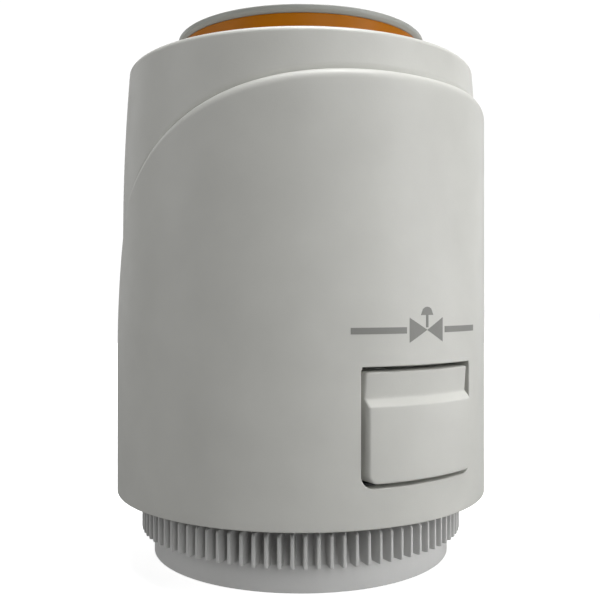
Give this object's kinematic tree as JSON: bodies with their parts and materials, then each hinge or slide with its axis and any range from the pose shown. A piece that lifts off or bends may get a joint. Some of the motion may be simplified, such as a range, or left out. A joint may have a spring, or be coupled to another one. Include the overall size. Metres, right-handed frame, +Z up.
{
  "type": "thermal actuator head",
  "caption": "Cylindrical thermal actuator head for a heating valve, with a rising indicator, a release button, a threaded adapter ring and a plug-in cable socket.",
  "frame": {"origin": "centre of the adapter ring's lower face, at the mouth of its thread", "axes": "+Z up the stem axis towards the indicator, -Y out of the release button, +Y out of the cable socket"},
  "size_m": [0.0444, 0.0447, 0.0612],
  "materials": {
    "casing_plastic": "fine satin moulded",
    "ring_plastic": "satin moulded",
    "cap_plastic": "satin moulded",
    "signal_orange": "satin moulded",
    "frame_plastic": "matt, glass-filled",
    "nylon": "matt natural",
    "rubber": "matt",
    "brass": "turned",
    "steel": "stamped and drawn",
    "wax": "waxy",
    "ceramic": "sintered"
  },
  "bodies": {
    "casing": {"housing": "casing_plastic", "base_plate": "frame_plastic", "cable_socket": "frame_plastic", "line_contact": "brass", "neutral_contact": "brass", "element_carrier": "nylon", "ptc_heater": "ceramic", "wax_cup": "brass", "wax_charge": "wax", "element_sleeve": "rubber", "element_guide": "brass", "plunger_seal": "rubber", "indicator_wiper": "rubber", "closing_spring": "steel", "button_springs": "steel"},
    "stem": {"lift_yoke": "frame_plastic", "indicator_sleeve": "signal_orange", "indicator_cap": "cap_plastic", "wax_piston": "steel", "thrust_pad": "steel", "cross_bar": "steel", "plunger": "nylon"},
    "button": {"release_button": "casing_plastic", "latch_plate": "steel"},
    "adapter": {"valve_adapter_ring": "ring_plastic"}
  },
  "joints": [
    {"name": "stem_lift", "type": "slide", "parent": "casing", "child": "stem", "axis": [0, 0, 1], "range_m": [-0.004, 0], "deforming": ["closing_spring"]},
    {"name": "button_press", "type": "slide", "parent": "casing", "child": "button", "axis": [0, 1, 0], "range_m": [0, 0.0018], "stiffness_N_per_m": 1500, "springref_m": -0.002, "deforming": ["button_springs"]},
    {"name": "adapter_turn", "type": "hinge", "parent": "casing", "child": "adapter", "pos_m": [0, 0, 0], "axis": [0, 0, 1], "continuous": true}
  ]
}
